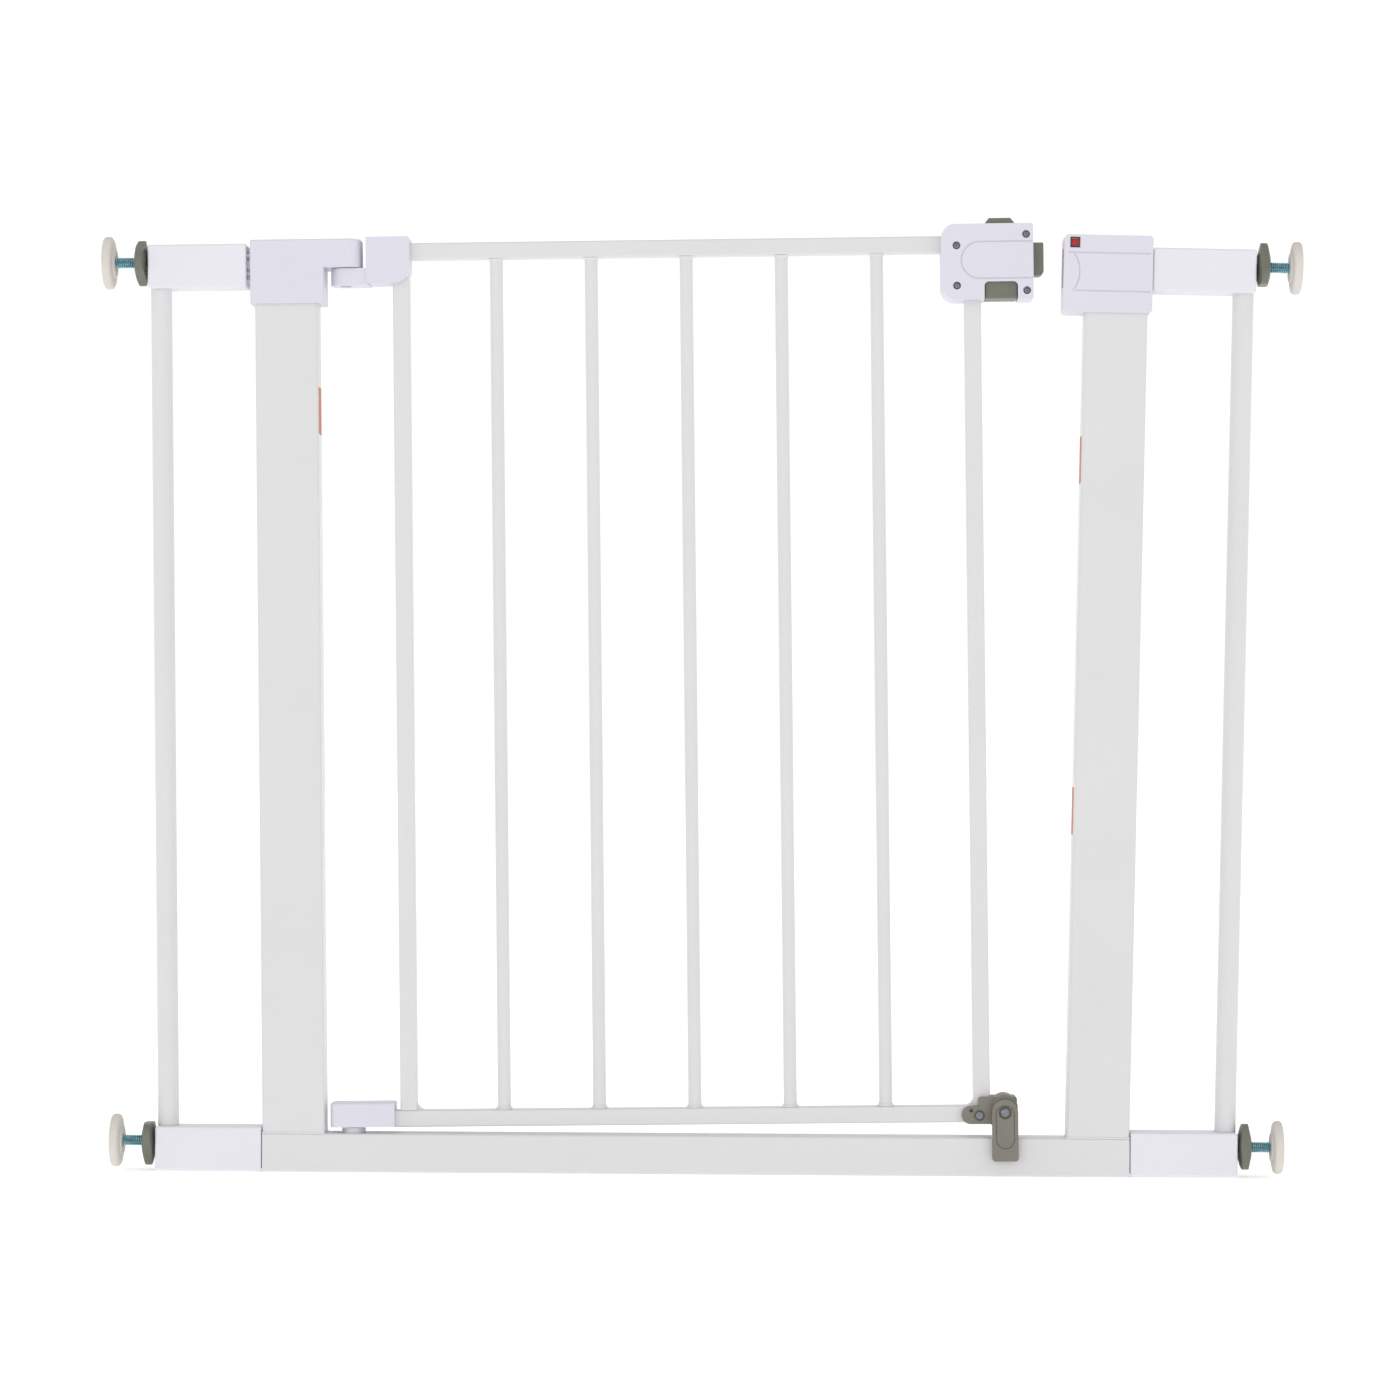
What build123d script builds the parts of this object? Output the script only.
"""Pressure-fitted safety gate: a splayed tube frame, a swinging barred door and four wall pads.

Millimetres. X runs along the gate, Y through it (-Y is the front), Z up from the floor.
Every piece is drawn in the upright, tensioned gate. The posts of the free gate stand
splayed, so each post with all it carries is then leaned outwards about its foot.
"""

import os

from build123d import *

# Whole gate
HINGE_CAP_TOP = 709.0
CATCH_TOP = 713.0
HINGE_BLOCK_TOP = 710.5
LEAN_LEFT_DEG = 0.85
LEAN_RIGHT_DEG = 1.10

# Base bar and posts, both rectangular steel tube
TUBE_DEPTH = 25.0
TUBE_WALL = 1.5
BASE_HEIGHT = 29.0
POST_WIDTH = 47.5
POST_INNER_X = 281.0
POST_OUTER_X = POST_INNER_X + POST_WIDTH
LEFT_POST_TOP = 700.0
RIGHT_POST_TOP = 669.0

# Door frame and bars
FRAME_TUBE = 12.7
FRAME_WALL = 1.2
BAR_RADIUS = 5.0
BAR_WALL = 1.0
BAR_COUNT = 5
BAR_PITCH = 72.5
STILE_X = 3 * BAR_PITCH
DOOR_BOTTOM = 33.0
DOOR_TOP = 706.0
STILE_HALF = FRAME_TUBE / 2

# Hinges: one vertical line beside the left post
HINGE_X = -260.0
HINGE_PIN_RADIUS = 4.0
HINGE_BORE_RADIUS = 4.35
WASHER_HEIGHT = 4.0
LOWER_CAP_BOTTOM = BASE_HEIGHT + WASHER_HEIGHT + 0.6
LOWER_CAP_TOP = 52.0
RAIL_LEFT_X = -228.0
TAB_BOTTOM = 674.0
TAB_TOP = 686.9
CAP_ARM_BOTTOM = 687.4
CAP_HALF_DEPTH = 15.5
CAP_ARM_END_X = HINGE_X + 12.5
CAP_NOSE_RADIUS = 10.5
TAB_RADIUS = 11.3

# Extension arms, side tubes and tension spindles
ARM_DEPTH = 27.0
ARM_END_X = 410.0
UPPER_ARM_INNER_X = 334.7
UPPER_ARM_BOTTOM = 671.5
UPPER_ARM_TOP = 704.5
LOWER_ARM_INNER_X = POST_OUTER_X + 0.7
LOWER_ARM_BOTTOM = 1.0
LOWER_ARM_TOP = 33.5
TONGUE_LENGTH = 13.0
SIDE_TUBE_X = 401.5
SIDE_TUBE_RADIUS = 8.0
SIDE_TUBE_WALL = 1.2
SIDE_TUBE_TOP = 682.0
SIDE_TUBE_BOTTOM = 29.9
LOWER_SOCKET_FLOOR = 27.0
UPPER_ROD_Z = 692.4
LOWER_ROD_Z = 21.9
LEFT_ARM_RAISE = 1.9
ROD_RADIUS = 4.2
ROD_BORE_RADIUS = 4.6
ROD_INNER_X = 350.0
WHEEL_LOBE_REACH = 10.2
WHEEL_LOBE_RADIUS = 8.5
WHEEL_FACE_RADIUS = 9.2
WHEEL_BEVEL_SLOPE = 3.86
WHEEL_INNER_X = 411.6
WHEEL_OUTER_X = 421.0
PAD_RADIUS = 20.0
PAD_INNER_X = 436.0
PAD_OUTER_X = 444.6
PAD_DISC_RADIUS = 10.0
PAD_HUB_RADIUS = 12.5

# Latch housing on the door
SHELL_DEPTH = 15.0
SHELL_WALL = 2.4
LATCH_LEFT_X = STILE_X - 23.8
LATCH_RIGHT_X = STILE_X + 46.0
LATCH_BOTTOM = 656.5
LATCH_TOP = 714.0
BOLT_BOTTOM = 675.0
BOLT_TOP = 700.0
BOLT_HALF_DEPTH = 7.0
BOLT_INNER_X = 228.5
BOLT_TIP_X = LATCH_RIGHT_X + 8.2
BOLT_TRAVEL = 8.0
TRIGGER_TRAVEL = 5.0
TRIGGER_LEFT_X = 227.1
TRIGGER_RIGHT_X = 250.8
TRIGGER_GAP = 0.8
TRIGGER_TOP = 670.0
CAM_PIN_X = 243.0
CAM_PIN_Z = 687.5
CAM_PIN_RADIUS = 2.0
SLIDER_LEFT_X = 227.0
SLIDER_RIGHT_X = 249.6
SLIDER_TRAVEL = 5.0
SCREW_HEAD_RADIUS = 2.9

# Catch housing on the right post
CATCH_LEFT_X = POST_INNER_X - 16.8
CATCH_RIGHT_X = POST_OUTER_X + 3.0
CATCH_BOTTOM = 654.2
SOCKET_BOTTOM = 673.4
SOCKET_TOP = 703.4
SOCKET_HALF_DEPTH = 9.0
SOCKET_DEPTH = 4.9
FLAG_TRAVEL = 4.0
SPRING_Z = 687.5

# Door stop under the latch side
STOP_PIVOT_X = 234.5
STOP_PIVOT_Z = 41.1
STOP_TAB_HALF_WIDTH = 9.85
STOP_TAB_BOTTOM = 4.4
STOP_LUG_TOP = 54.6
STOP_SCREW_X = 215.5
STOP_SCREW_Z = 38.6

LEFT_FOOT = Axis((HINGE_X, 0, BASE_HEIGHT), (0, 1, 0))
RIGHT_FOOT = Axis((POST_INNER_X, 0, BASE_HEIGHT), (0, 1, 0))


def block(x0, x1, y0, y1, z0, z1):
    """A box given by its two corners."""
    size = (abs(x1 - x0), abs(y1 - y0), abs(z1 - z0))
    return Pos((x0 + x1) / 2, (y0 + y1) / 2, (z0 + z1) / 2) * Box(*size)


def upright(x, y, z0, z1, radius):
    """A vertical cylinder between two heights."""
    return Pos(x, y, (z0 + z1) / 2) * Cylinder(radius, z1 - z0)


def lengthwise(x0, x1, y, z, radius):
    """A cylinder along X."""
    return Pos((x0 + x1) / 2, y, z) * Rot(0, 90, 0) * Cylinder(radius, abs(x1 - x0))


def crosswise(x, y0, y1, z, radius):
    """A cylinder along Y."""
    return Pos(x, (y0 + y1) / 2, z) * Rot(90, 0, 0) * Cylinder(radius, abs(y1 - y0))


def face_plate(sketch, y0, y1):
    """A sketch drawn in X and Z, given thickness from y0 back to y1."""
    return extrude(Plane.XZ.offset(-y0) * sketch, -(y1 - y0))


def soften(part, radius, axis=None):
    """Round all edges, or only those along one axis."""
    edges = part.edges() if axis is None else part.edges().filter_by(axis)
    return fillet(edges, radius)


def mirrored(part):
    """The same piece on the other side of the gate."""
    return part.mirror(Plane.YZ)


def upright_tube(x0, x1, half_depth, z0, z1, wall, corner):
    """A rectangular tube along Z."""
    outer = soften(block(x0, x1, -half_depth, half_depth, z0, z1), corner, Axis.Z)
    inner = block(x0 + wall, x1 - wall, -half_depth + wall, half_depth - wall, z0, z1)
    return outer - inner


def level_tube(x0, x1, half_depth, z0, z1, wall, corner):
    """A rectangular tube along X."""
    outer = soften(block(x0, x1, -half_depth, half_depth, z0, z1), corner, Axis.X)
    inner = block(x0, x1, -half_depth + wall, half_depth - wall, z0 + wall, z1 - wall)
    return outer - inner


# Base bar, feet of the frame


def base_bar():
    bar = level_tube(-POST_OUTER_X, POST_OUTER_X, TUBE_DEPTH / 2, 0, BASE_HEIGHT, TUBE_WALL, 1.8)
    return bar - upright(HINGE_X, 0, BASE_HEIGHT - TUBE_WALL, BASE_HEIGHT, HINGE_PIN_RADIUS)


def lower_hinge_pin():
    stem = upright(HINGE_X, 0, BASE_HEIGHT - 10, LOWER_CAP_BOTTOM + 11, HINGE_PIN_RADIUS)
    nut_top = BASE_HEIGHT - TUBE_WALL
    nut = Pos(HINGE_X, 0, nut_top - 3.2) * extrude(RegularPolygon(7.0, 6), 3.2)
    return chamfer((stem + nut).edges().sort_by(Axis.Z)[-1], 0.8)


def lower_hinge_washer():
    ring = upright(HINGE_X, 0, BASE_HEIGHT, BASE_HEIGHT + WASHER_HEIGHT, 9.0)
    return ring - upright(HINGE_X, 0, BASE_HEIGHT, BASE_HEIGHT + WASHER_HEIGHT, HINGE_PIN_RADIUS)


def left_lower_arm():
    arm = block(-ARM_END_X, -LOWER_ARM_INNER_X, -ARM_DEPTH / 2, ARM_DEPTH / 2,
                LOWER_ARM_BOTTOM, LOWER_ARM_TOP)
    arm = soften(arm, 1.6)
    tongue = block(-LOWER_ARM_INNER_X - 1, -LOWER_ARM_INNER_X + TONGUE_LENGTH, -9, 9, 6, 24)
    arm += tongue
    arm -= lengthwise(-ARM_END_X, -ROD_INNER_X + 14, 0, LOWER_ROD_Z, ROD_BORE_RADIUS)
    return arm - upright(-SIDE_TUBE_X, 0, LOWER_SOCKET_FLOOR, LOWER_ARM_TOP, SIDE_TUBE_RADIUS + 0.5)


# Posts and what stands on them


def left_post():
    post = upright_tube(-POST_OUTER_X, -POST_INNER_X, TUBE_DEPTH / 2, BASE_HEIGHT,
                        LEFT_POST_TOP, TUBE_WALL, 2.2)
    return post - upper_tongue()


def right_post():
    post = upright_tube(POST_INNER_X, POST_OUTER_X, TUBE_DEPTH / 2, BASE_HEIGHT,
                        RIGHT_POST_TOP, TUBE_WALL, 2.2)
    return post


def level_foot(post):
    """A leaned post is cut level, so that it stands flat on the base bar."""
    cut = Pos(0, 0, BASE_HEIGHT - 10) * Box(800, 60, 20)
    return post - cut


def upper_tongue():
    """The flat end of the left upper arm, which plugs into cap and post."""
    return block(-UPPER_ARM_INNER_X - 1, -POST_OUTER_X + TONGUE_LENGTH - 3, -8, 8, 677, 699)


def upper_arm_body(inner_x):
    arm = block(-ARM_END_X, -inner_x, -ARM_DEPTH / 2, ARM_DEPTH / 2,
                UPPER_ARM_BOTTOM, UPPER_ARM_TOP)
    return soften(arm, 1.6)


def arm_bores(arm):
    arm -= lengthwise(-ARM_END_X, -ROD_INNER_X + 14, 0, UPPER_ROD_Z, ROD_BORE_RADIUS)
    return arm - upright(-SIDE_TUBE_X, 0, UPPER_ARM_BOTTOM, SIDE_TUBE_TOP, SIDE_TUBE_RADIUS)


def left_upper_arm():
    """The left arm rides a little higher on its tongue than the right one."""
    arm = Pos(0, 0, LEFT_ARM_RAISE) * arm_bores(upper_arm_body(UPPER_ARM_INNER_X))
    arm += upper_tongue()
    for z in (681.0, 686.5, 695.0):
        arm -= block(-UPPER_ARM_INNER_X, -UPPER_ARM_INNER_X + 2.6, -8, -6, z - 1.6, z + 1.6)
    return arm


def right_upper_arm():
    tongue = block(-UPPER_ARM_INNER_X - 1, -CATCH_RIGHT_X + SHELL_WALL + 3, -8, 8, 677, 699)
    return mirrored(arm_bores(upper_arm_body(CATCH_RIGHT_X + 0.3) + tongue))


def side_tube(top):
    tube = upright(-SIDE_TUBE_X, 0, SIDE_TUBE_BOTTOM, top, SIDE_TUBE_RADIUS)
    return tube - upright(-SIDE_TUBE_X, 0, SIDE_TUBE_BOTTOM, top, SIDE_TUBE_RADIUS - SIDE_TUBE_WALL)


def hinge_cap():
    """White cap over the left post, with the arm that holds the upper hinge pin."""
    body = block(-POST_OUTER_X - 3.2, -POST_INNER_X + 5.5, -CAP_HALF_DEPTH, CAP_HALF_DEPTH,
                 660.2, HINGE_CAP_TOP)
    body = soften(body, 1.6, Axis.Z)
    arm = block(-POST_INNER_X, CAP_ARM_END_X, -CAP_HALF_DEPTH, CAP_HALF_DEPTH,
                CAP_ARM_BOTTOM, HINGE_CAP_TOP)
    arm = fillet(arm.edges().filter_by(Axis.Z).sort_by(Axis.X)[-2:], CAP_NOSE_RADIUS)
    cap = body + arm
    top = cap.faces().sort_by(Axis.Z)[-1]
    cap = fillet(top.edges(), 1.4)
    post = block(-POST_OUTER_X, -POST_INNER_X, -TUBE_DEPTH / 2, TUBE_DEPTH / 2, 650, LEFT_POST_TOP)
    cap -= post + upper_tongue()
    return cap - upright(HINGE_X, 0, CAP_ARM_BOTTOM, CAP_ARM_BOTTOM + 18, HINGE_PIN_RADIUS)


def upper_hinge_pin():
    pin = upright(HINGE_X, 0, TAB_BOTTOM + 1, CAP_ARM_BOTTOM + 18, HINGE_PIN_RADIUS)
    return chamfer(pin.edges().sort_by(Axis.Z)[0], 0.8)


# Door


def stile(x):
    """An upright of the door, standing on the bottom rail."""
    return upright_tube(x - STILE_HALF, x + STILE_HALF, STILE_HALF, DOOR_BOTTOM + FRAME_TUBE,
                        DOOR_TOP, FRAME_WALL, 1.4)


def rail(x0, x1, z0):
    return level_tube(x0, x1, STILE_HALF, z0, z0 + FRAME_TUBE, FRAME_WALL, 1.4)


def bottom_rail():
    """The lower rail runs under both stiles and on into the hinge cap."""
    return rail(RAIL_LEFT_X, STILE_X + STILE_HALF, DOOR_BOTTOM)


def top_rail():
    """The upper rail, drilled where a latch screw passes through it."""
    half = STILE_X - STILE_HALF
    x, z = screw_places()[0]
    bare = rail(-half, half, DOOR_TOP - FRAME_TUBE)
    return bare - crosswise(x, -STILE_HALF, STILE_HALF, z, 1.6)


def bar(index):
    x = -STILE_X + (index + 1) * BAR_PITCH
    z0, z1 = DOOR_BOTTOM + FRAME_TUBE, DOOR_TOP - FRAME_TUBE
    return upright(x, 0, z0, z1, BAR_RADIUS) - upright(x, 0, z0, z1, BAR_RADIUS - BAR_WALL)


def frame_envelope(x):
    """Room that a clamped-on piece leaves for one stile and the two rails."""
    room = block(x - STILE_HALF, x + STILE_HALF, -STILE_HALF, STILE_HALF, DOOR_BOTTOM, DOOR_TOP)
    for z0 in (DOOR_BOTTOM, DOOR_TOP - FRAME_TUBE):
        room += block(-STILE_X, STILE_X, -STILE_HALF, STILE_HALF, z0, z0 + FRAME_TUBE)
    return room


def hinge_block():
    """White block on the door's upper hinge corner, with the tab that turns on the pin."""
    left, right = -243.7, -STILE_X + STILE_HALF + 0.6
    body = block(left, right, -12, 12, TAB_BOTTOM + 1, HINGE_BLOCK_TOP)
    lower_right = body.edges().filter_by(Axis.Y).group_by(Axis.Z)[0].sort_by(Axis.X)[-1]
    body = fillet(lower_right, 12.0)
    upper_right = body.edges().filter_by(Axis.Y).group_by(Axis.Z)[-1].sort_by(Axis.X)[-1]
    body = fillet(upper_right, 2.0)
    tab = block(HINGE_X, left + 2, -TAB_RADIUS, TAB_RADIUS, TAB_BOTTOM, TAB_TOP)
    tab += upright(HINGE_X, 0, TAB_BOTTOM, TAB_TOP, TAB_RADIUS)
    tab -= upright(HINGE_X, 0, TAB_BOTTOM, TAB_TOP, HINGE_BORE_RADIUS)
    return body + tab - frame_envelope(-STILE_X)


def lower_hinge_cap():
    """White cap on the door's lower hinge corner, which turns on the base pin."""
    cap = block(HINGE_X - 17, RAIL_LEFT_X, -12, 12, LOWER_CAP_BOTTOM, LOWER_CAP_TOP)
    cap = fillet(cap.edges().filter_by(Axis.Z).sort_by(Axis.X)[:2], 6.0)
    cap = fillet(cap.faces().sort_by(Axis.Z)[-1].edges(), 1.6)
    half = STILE_HALF - FRAME_WALL
    middle = DOOR_BOTTOM + STILE_HALF
    cap += block(RAIL_LEFT_X - 1, RAIL_LEFT_X + 9, -half, half, middle - half, middle + half)
    return cap - upright(HINGE_X, 0, LOWER_CAP_BOTTOM, LOWER_CAP_BOTTOM + 12.5, HINGE_BORE_RADIUS)


def screw_places():
    """Where the four latch screws go, in X and Z."""
    return [(LATCH_LEFT_X + 11.7, LATCH_TOP - 16.4), (LATCH_RIGHT_X - 5.3, LATCH_TOP - 8.4),
            (LATCH_LEFT_X + 11.8, LATCH_BOTTOM + 10.6), (LATCH_RIGHT_X - 5.0, LATCH_BOTTOM + 6.4)]


def latch_block():
    """Outer shape of the closed latch housing."""
    body = block(LATCH_LEFT_X, LATCH_RIGHT_X, -SHELL_DEPTH, SHELL_DEPTH, LATCH_BOTTOM, LATCH_TOP)
    upright_edges = body.edges().filter_by(Axis.Y).sort_by(Axis.X)
    body = fillet(upright_edges[:2], 11.0)
    upright_edges = body.edges().filter_by(Axis.Y).sort_by(Axis.X)
    body = fillet(upright_edges[-2:], 2.0)
    for face in (body.faces().sort_by(Axis.Y)[0], body.faces().sort_by(Axis.Y)[-1]):
        body = fillet(face.edges(), 1.8)
    return body


def latch_hollow():
    """Everything inside the housing that is left open."""
    inner_y = SHELL_DEPTH - SHELL_WALL
    left = STILE_X + STILE_HALF + 1
    room = block(left, LATCH_RIGHT_X - SHELL_WALL, -inner_y, inner_y,
                 LATCH_BOTTOM + SHELL_WALL, LATCH_TOP - SHELL_WALL)
    room += frame_envelope(STILE_X)
    room += block(LATCH_RIGHT_X - SHELL_WALL, LATCH_RIGHT_X, -BOLT_HALF_DEPTH - 0.4,
                  BOLT_HALF_DEPTH + 0.4, BOLT_BOTTOM - 0.4, BOLT_TOP + 0.4)
    notch = block(TRIGGER_LEFT_X - TRIGGER_GAP, TRIGGER_RIGHT_X + TRIGGER_GAP, -SHELL_DEPTH, SHELL_DEPTH,
                  LATCH_BOTTOM, TRIGGER_TOP)
    notch_top = notch.edges().filter_by(Axis.Y).group_by(Axis.Z)[-1]
    room += fillet(notch_top, 3.5)
    slot_left = SLIDER_LEFT_X + 4 - SLIDER_TRAVEL
    return room + block(slot_left, SLIDER_RIGHT_X - 2.4, -3.4, 3.4, LATCH_TOP - SHELL_WALL, LATCH_TOP)


def guide_ribs(side):
    """Two ribs on each shell wall, above and below the bolt."""
    inner = side * (SHELL_DEPTH - SHELL_WALL)
    ribs = []
    for z0, z1 in ((BOLT_TOP + 0.4, BOLT_TOP + 2.4), (BOLT_BOTTOM - 2.4, BOLT_BOTTOM - 0.4)):
        ribs.append(block(252.5, LATCH_RIGHT_X - SHELL_WALL, side * 1.0, inner, z0, z1))
    return ribs


def latch_screw_boss(x, z, side):
    return crosswise(x, side * 0.02, side * (SHELL_DEPTH - 1), z, 4.0)


def latch_shell(side):
    """Front (side -1) or rear (side +1) half of the latch housing."""
    half = block(LATCH_LEFT_X, LATCH_RIGHT_X, 0, side * SHELL_DEPTH, LATCH_BOTTOM, LATCH_TOP)
    shell = (latch_block() & half) - latch_hollow()
    for rib in guide_ribs(side):
        shell += rib
    for x, z in screw_places():
        if x > STILE_X:
            shell += latch_screw_boss(x, z, side) & latch_block()
    for x, z in screw_places():
        if side < 0:
            shell -= crosswise(x, -SHELL_DEPTH, 0, z, 1.5)
            shell -= crosswise(x, -SHELL_DEPTH, -SHELL_DEPTH + 3.2, z, SCREW_HEAD_RADIUS + 0.15)
        else:
            shell -= crosswise(x, 0, SHELL_DEPTH - 2.8, z, 1.5)
    if side < 0:
        shell -= groove_panel()
    return shell


def groove_panel():
    """The shallow stadium-shaped groove on the front of the latch."""
    left = LATCH_LEFT_X + 14.7
    z = (BOLT_BOTTOM + BOLT_TOP) / 2 - 1.2
    radius = 14.5
    width = LATCH_RIGHT_X - left + 30
    ring = SlotOverall(width, 2 * radius) - SlotOverall(width - 2.2, 2 * radius - 2.2)
    place = Pos(left + width / 2, z) * ring
    return face_plate(place, -SHELL_DEPTH, -SHELL_DEPTH + 0.7)


def latch_screws():
    screws = []
    for x, z in screw_places():
        head = crosswise(x, -SHELL_DEPTH + 0.9, -SHELL_DEPTH + 3.2, z, SCREW_HEAD_RADIUS)
        stem = crosswise(x, -SHELL_DEPTH + 3.2, SHELL_DEPTH - 3, z, 1.5)
        screws.append(head + stem)
    return Compound(screws)


def latch_bolt():
    body = block(BOLT_INNER_X + BOLT_TRAVEL, BOLT_TIP_X, -BOLT_HALF_DEPTH, BOLT_HALF_DEPTH,
                 BOLT_BOTTOM, BOLT_TOP)
    lower_tip = body.edges().filter_by(Axis.Y).group_by(Axis.Z)[0].sort_by(Axis.X)[-1]
    body = fillet(lower_tip, 3.8)
    upper_tip = body.edges().filter_by(Axis.Y).group_by(Axis.Z)[-1].sort_by(Axis.X)[-1]
    body = fillet(upper_tip, 1.2)
    return body + crosswise(CAM_PIN_X, BOLT_HALF_DEPTH, BOLT_HALF_DEPTH + 3.6, CAM_PIN_Z, CAM_PIN_RADIUS)


def latch_trigger():
    """Push-up trigger, with the cam plate whose sloping slot draws the bolt in."""
    grip = block(TRIGGER_LEFT_X, TRIGGER_RIGHT_X, -12.1, 12.1, LATCH_BOTTOM + 0.8, TRIGGER_TOP + 4)
    grip = soften(grip, 1.2, Axis.X)
    grip -= block(TRIGGER_LEFT_X, TRIGGER_RIGHT_X, -BOLT_HALF_DEPTH - 0.5, BOLT_HALF_DEPTH + 0.5,
                  BOLT_BOTTOM - TRIGGER_TRAVEL - 0.5, TRIGGER_TOP + 4)
    plate = block(230, 250, BOLT_HALF_DEPTH + 0.5, BOLT_HALF_DEPTH + 3.3, 660, 699)
    middle_x = CAM_PIN_X + BOLT_TRAVEL / 2
    middle_z = CAM_PIN_Z + TRIGGER_TRAVEL / 2
    reach = (BOLT_TRAVEL**2 + TRIGGER_TRAVEL**2) ** 0.5
    slope = Rot(0, 0, 32.005)
    slot = Pos(middle_x - BOLT_TRAVEL, middle_z - TRIGGER_TRAVEL) * slope * SlotCenterToCenter(
        reach, 2 * CAM_PIN_RADIUS + 0.8)
    return grip + plate - face_plate(slot, BOLT_HALF_DEPTH, BOLT_HALF_DEPTH + 4)


def trigger_spring():
    z0, z1 = 699.2, LATCH_TOP - SHELL_WALL
    y = BOLT_HALF_DEPTH + 2.7
    return upright(240, y, z0, z1, 2.2) - upright(240, y, z0, z1, 1.5)


def thumb_slider():
    """Grey slide on top of the latch, with its stem and foot inside."""
    slope = 3.2
    wedge = Polygon((SLIDER_LEFT_X, 0), (SLIDER_RIGHT_X, 0), (SLIDER_RIGHT_X - slope, 3.9),
                    (SLIDER_LEFT_X + slope, 3.9), align=None)
    top = face_plate(Pos(0, LATCH_TOP + 0.4) * wedge, -12.5, 12.5)
    stem = block(SLIDER_LEFT_X + 4.7, SLIDER_RIGHT_X - 3, -3, 3, LATCH_TOP - SHELL_WALL - 1,
                 LATCH_TOP + 1)
    foot = block(SLIDER_LEFT_X + 2.7, SLIDER_RIGHT_X - 1, -6, 6, LATCH_TOP - SHELL_WALL - 3,
                 LATCH_TOP - SHELL_WALL - 0.4)
    return top + stem + foot


def stop_outline(half_width, top, bottom):
    """Upright strip with a round top, about the stop's pivot."""
    strip = Pos(STOP_PIVOT_X, (top - half_width + bottom) / 2) * Rectangle(
        2 * half_width, top - half_width - bottom)
    return strip + Pos(STOP_PIVOT_X, top - half_width) * Circle(half_width)


def stop_bracket():
    """Grey clamp round the foot of the latch stile, with the lug for the stop tab."""
    lobe = block(202.3, 216, -10.5, 10.5, DOOR_BOTTOM - 1, DOOR_BOTTOM + FRAME_TUBE)
    lobe = fillet(lobe.edges().filter_by(Axis.Y).sort_by(Axis.X)[:2], 6.5)
    body = block(214.8, 244, -11, 11, DOOR_BOTTOM - 1, 52.5)
    body = soften(body, 2.0, Axis.Y)
    lug = face_plate(stop_outline(STOP_TAB_HALF_WIDTH, STOP_LUG_TOP, DOOR_BOTTOM - 2), -13.6, 8)
    clamp = lobe + body + lug - frame_envelope(STILE_X)
    clamp -= crosswise(209.3, -10.5, -8, 42.3, 1.5)
    clamp -= crosswise(STOP_SCREW_X, -11, -9.4, STOP_SCREW_Z, 4.2)
    clamp -= crosswise(STOP_SCREW_X, -9.4, -STILE_HALF, STOP_SCREW_Z, 2.2)
    return clamp - crosswise(STOP_PIVOT_X, -13.6, 4.3, STOP_PIVOT_Z, 2.56)


def stop_bracket_screw():
    head = crosswise(STOP_SCREW_X, -11, -9.4, STOP_SCREW_Z, 3.5)
    return head + crosswise(STOP_SCREW_X, -9.4, -STILE_HALF, STOP_SCREW_Z, 2.2)


def stop_tab():
    """Grey flip-down tab in front of the base bar."""
    plate = face_plate(stop_outline(STOP_TAB_HALF_WIDTH, STOP_PIVOT_Z + STOP_TAB_HALF_WIDTH,
                                    STOP_TAB_BOTTOM), -18.4, -14.2)
    bottom_edges = plate.edges().filter_by(Axis.Y).group_by(Axis.Z)[0]
    plate = fillet(bottom_edges, 2.3)
    groove = Pos(STOP_PIVOT_X, STOP_PIVOT_Z - 10.8) * Rot(0, 0, 90) * (
        SlotOverall(33.2, 14.4) - SlotOverall(31.6, 12.8))
    plate -= face_plate(groove, -18.4, -17.7)
    plate -= crosswise(STOP_PIVOT_X, -18.4, -16.2, STOP_PIVOT_Z, 5.0)
    return plate - crosswise(STOP_PIVOT_X, -16.2, -14.2, STOP_PIVOT_Z, 2.9)


def stop_tab_screw():
    head = crosswise(STOP_PIVOT_X, -17.9, -16.2, STOP_PIVOT_Z, 4.2)
    return head + crosswise(STOP_PIVOT_X, -16.2, 4, STOP_PIVOT_Z, 2.5)


# Catch on the right post


def catch_block():
    body = block(CATCH_LEFT_X, CATCH_RIGHT_X, -SHELL_DEPTH, SHELL_DEPTH, CATCH_BOTTOM, CATCH_TOP)
    body = soften(body, 3.0, Axis.Y)
    for face in (body.faces().sort_by(Axis.Y)[0], body.faces().sort_by(Axis.Y)[-1]):
        body = fillet(face.edges(), 1.8)
    return body


def catch_hollow():
    """Post, bolt socket, flag room, windows and arm tongue inside the catch."""
    room = block(POST_INNER_X, POST_OUTER_X, -TUBE_DEPTH / 2, TUBE_DEPTH / 2, CATCH_BOTTOM,
                 RIGHT_POST_TOP)
    room += block(CATCH_LEFT_X, 306, -SOCKET_HALF_DEPTH, SOCKET_HALF_DEPTH, SOCKET_BOTTOM, SOCKET_TOP)
    room += block(CATCH_LEFT_X + SHELL_WALL, 306, -12.6, 9, SOCKET_BOTTOM, CATCH_TOP - SHELL_WALL)
    room += block(CATCH_LEFT_X, CATCH_LEFT_X + SHELL_WALL, -12.6, -9.4, 701.6, 710.4)
    room += block(269.6, 275.0, -SHELL_DEPTH, -12.6, 704.0, 710.0)
    tongue = block(CATCH_RIGHT_X - SHELL_WALL - 3, CATCH_RIGHT_X, -8, 8, 677, 699)
    return room + tongue


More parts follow.
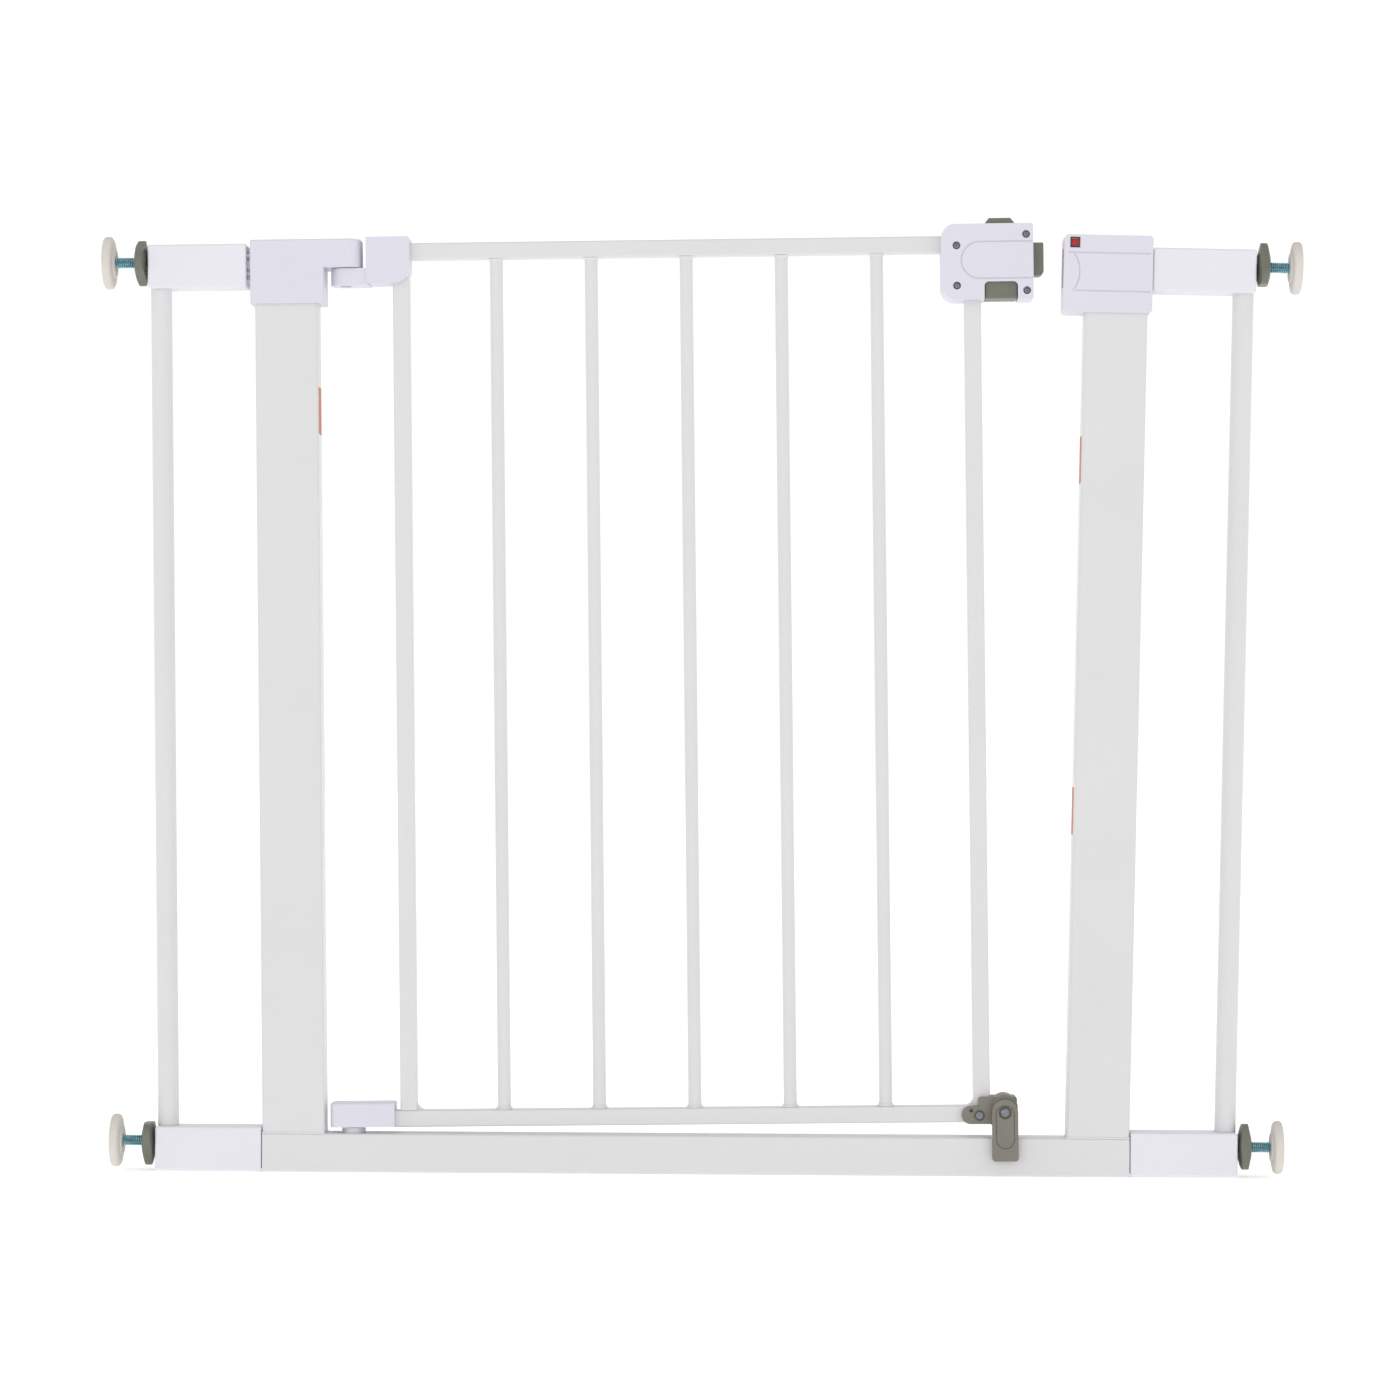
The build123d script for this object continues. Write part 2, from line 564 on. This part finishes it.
def catch_shell(side):
    half = block(CATCH_LEFT_X, CATCH_RIGHT_X, 0, side * SHELL_DEPTH, CATCH_BOTTOM, CATCH_TOP)
    shell = (catch_block() & half) - catch_hollow()
    if side < 0:
        shell -= catch_grooves()
    for x, z in catch_screw_places():
        if side > 0:
            shell -= crosswise(x, 0, SHELL_DEPTH, z, 1.5)
            shell -= crosswise(x, SHELL_DEPTH - 3.2, SHELL_DEPTH, z, SCREW_HEAD_RADIUS + 0.15)
        else:
            shell -= crosswise(x, -SHELL_DEPTH + 2.8, 0, z, 1.5)
    return shell


def catch_grooves():
    """Two level grooves across the front of the catch, joined by a shallow arc."""
    y0, y1 = -SHELL_DEPTH, -SHELL_DEPTH + 0.6
    low, high = 670.4, 699.3
    lower = block(CATCH_LEFT_X + 9, CATCH_RIGHT_X - 2, y0, y1, low - 0.5, low + 0.5)
    upper = block(CATCH_LEFT_X + 3.5, CATCH_RIGHT_X - 2, y0, y1, high - 0.5, high + 0.5)
    ring = Circle(24.3) - Circle(23.7)
    arc = face_plate(Pos(CATCH_LEFT_X + 12 - 24, (low + high) / 2) * ring, y0, y1)
    return lower + upper + (arc & block(CATCH_LEFT_X, CATCH_RIGHT_X, y0, y1, low, high))


def catch_screw_places():
    return [(272, 664), (318, 704), (318, 676)]


def catch_screws():
    screws = []
    for x, z in catch_screw_places():
        head = crosswise(x, SHELL_DEPTH - 3.2, SHELL_DEPTH - 0.9, z, SCREW_HEAD_RADIUS)
        screws.append(head + crosswise(x, -SHELL_DEPTH + 3, SHELL_DEPTH - 3.2, z, 1.5))
    return Compound(screws)


def strike_plate():
    """Steel plate under the bolt, at the floor of the catch socket."""
    return block(CATCH_LEFT_X + 1, 284, -8.4, 8.4, SOCKET_BOTTOM, SOCKET_BOTTOM + 1.2)


def indicator_flag():
    """Red flag: a plunger in the socket, and the upstand behind the windows."""
    plunger = block(CATCH_LEFT_X + SOCKET_DEPTH, 301.5, -5, 5, SOCKET_BOTTOM + 4, SOCKET_TOP - 6)
    plunger -= lengthwise(290, 301.5, 0, SPRING_Z, 3.5)
    neck = block(268, 281, -12, -4, 693, 698)
    upstand = block(CATCH_LEFT_X + SHELL_WALL + 0.5, 276.5, -12.2, -9.8, 693, 710.1)
    tooth = block(CATCH_LEFT_X + 0.4, CATCH_LEFT_X + SHELL_WALL + 1, -12.2, -9.8, 702.0, 710.0)
    return plunger + neck + upstand + tooth


def indicator_spring():
    return lengthwise(294.5, 305.9, 0, SPRING_Z, 3.2) - lengthwise(294.5, 305.9, 0, SPRING_Z, 2.3)


# Tension units, drawn for the left side


def spindle(z):
    rod = lengthwise(-PAD_INNER_X - 2, -ROD_INNER_X, 0, z, ROD_RADIUS)
    disc = lengthwise(-PAD_INNER_X - 4, -PAD_INNER_X - 1.5, 0, z, PAD_DISC_RADIUS)
    return rod + disc


def wall_pad(z):
    """Soft round pad: a disc with a low hub that holds the rod's end disc."""
    pad = lengthwise(-PAD_OUTER_X, -PAD_INNER_X - 1.5, 0, z, PAD_RADIUS)
    pad = fillet(pad.edges().filter_by(GeomType.CIRCLE), 2.2)
    pad += lengthwise(-PAD_INNER_X - 2, -PAD_INNER_X, 0, z, PAD_HUB_RADIUS)
    pad -= lengthwise(-PAD_INNER_X - 4, -PAD_INNER_X - 1.5, 0, z, PAD_DISC_RADIUS)
    return pad - lengthwise(-PAD_INNER_X - 2, -PAD_INNER_X, 0, z, ROD_RADIUS)


def tension_wheel(z, turn):
    """Three-lobed hand wheel, a nut on the threaded rod. turn says how it happens to stand."""
    thickness = WHEEL_OUTER_X - WHEEL_INNER_X
    outline = offset(RegularPolygon(WHEEL_LOBE_REACH, 3), amount=WHEEL_LOBE_RADIUS)
    disc = extrude(outline, thickness)
    wide = WHEEL_FACE_RADIUS + WHEEL_BEVEL_SLOPE * thickness
    disc &= Pos(0, 0, thickness / 2) * Cone(WHEEL_FACE_RADIUS, wide, thickness)
    disc &= Pos(0, 0, thickness / 2) * Cone(wide, WHEEL_FACE_RADIUS, thickness)
    disc = Pos(-WHEEL_OUTER_X, 0, z) * Rot(turn, 0, 0) * Rot(0, 90, 0) * Rot(0, 0, 180) * disc
    return disc - lengthwise(-WHEEL_OUTER_X - 1, -WHEEL_INNER_X + 1, 0, z, ROD_BORE_RADIUS)


# The three groups of pieces, each in the pose of the free gate


def base_pieces():
    return {
        "base_bar": base_bar(),
        "lower_hinge_pin": lower_hinge_pin(),
        "lower_hinge_washer": lower_hinge_washer(),
        "lower_arm_left": left_lower_arm(),
        "lower_arm_right": mirrored(left_lower_arm()),
        "lower_spindle_left": spindle(LOWER_ROD_Z),
        "lower_spindle_right": mirrored(spindle(LOWER_ROD_Z)),
        "lower_pad_left": wall_pad(LOWER_ROD_Z),
        "lower_pad_right": mirrored(wall_pad(LOWER_ROD_Z)),
        "lower_wheel_left": tension_wheel(LOWER_ROD_Z, 180),
        "lower_wheel_right": mirrored(tension_wheel(LOWER_ROD_Z, 20)),
    }


def left_pieces():
    pieces = {
        "hinge_cap": hinge_cap(),
        "upper_hinge_pin": upper_hinge_pin(),
        "upper_arm_left": left_upper_arm(),
        "side_tube_left": side_tube(SIDE_TUBE_TOP + LEFT_ARM_RAISE),
        "upper_spindle_left": spindle(UPPER_ROD_Z + LEFT_ARM_RAISE),
        "upper_pad_left": wall_pad(UPPER_ROD_Z + LEFT_ARM_RAISE),
        "upper_wheel_left": tension_wheel(UPPER_ROD_Z + LEFT_ARM_RAISE, 90),
        "hinge_stile": stile(-STILE_X),
        "latch_stile": stile(STILE_X),
        "top_rail": top_rail(),
        "bottom_rail": bottom_rail(),
        "hinge_block": hinge_block(),
        "lower_hinge_cap": lower_hinge_cap(),
        "latch_shell_front": latch_shell(-1),
        "latch_shell_rear": latch_shell(1),
        "latch_screws": latch_screws(),
        "latch_bolt": latch_bolt(),
        "latch_trigger": latch_trigger(),
        "trigger_spring": trigger_spring(),
        "thumb_slider": thumb_slider(),
        "stop_bracket": stop_bracket(),
        "stop_bracket_screw": stop_bracket_screw(),
        "stop_tab": stop_tab(),
        "stop_tab_screw": stop_tab_screw(),
    }
    for index in range(BAR_COUNT):
        pieces[f"bar_{index + 1}"] = bar(index)
    return pieces


def right_pieces():
    return {
        "catch_shell_front": catch_shell(-1),
        "catch_shell_rear": catch_shell(1),
        "catch_screws": catch_screws(),
        "strike_plate": strike_plate(),
        "indicator_flag": indicator_flag(),
        "indicator_spring": indicator_spring(),
        "upper_arm_right": right_upper_arm(),
        "side_tube_right": mirrored(side_tube(SIDE_TUBE_TOP)),
        "upper_spindle_right": mirrored(spindle(UPPER_ROD_Z)),
        "upper_pad_right": mirrored(wall_pad(UPPER_ROD_Z)),
        "upper_wheel_right": mirrored(tension_wheel(UPPER_ROD_Z, 0)),
    }


def free_gate():
    """Every piece of the gate by name, in the splayed pose of the free gate."""
    pieces = base_pieces()
    for name, piece in left_pieces().items():
        pieces[name] = piece.rotate(LEFT_FOOT, -LEAN_LEFT_DEG)
    for name, piece in right_pieces().items():
        pieces[name] = piece.rotate(RIGHT_FOOT, LEAN_RIGHT_DEG)
    pieces["left_post"] = level_foot(left_post().rotate(LEFT_FOOT, -LEAN_LEFT_DEG))
    pieces["right_post"] = level_foot(right_post().rotate(RIGHT_FOOT, LEAN_RIGHT_DEG))
    return pieces


os.makedirs("parts", exist_ok=True)
for name, piece in free_gate().items():
    export_step(piece, f"parts/{name}.step")
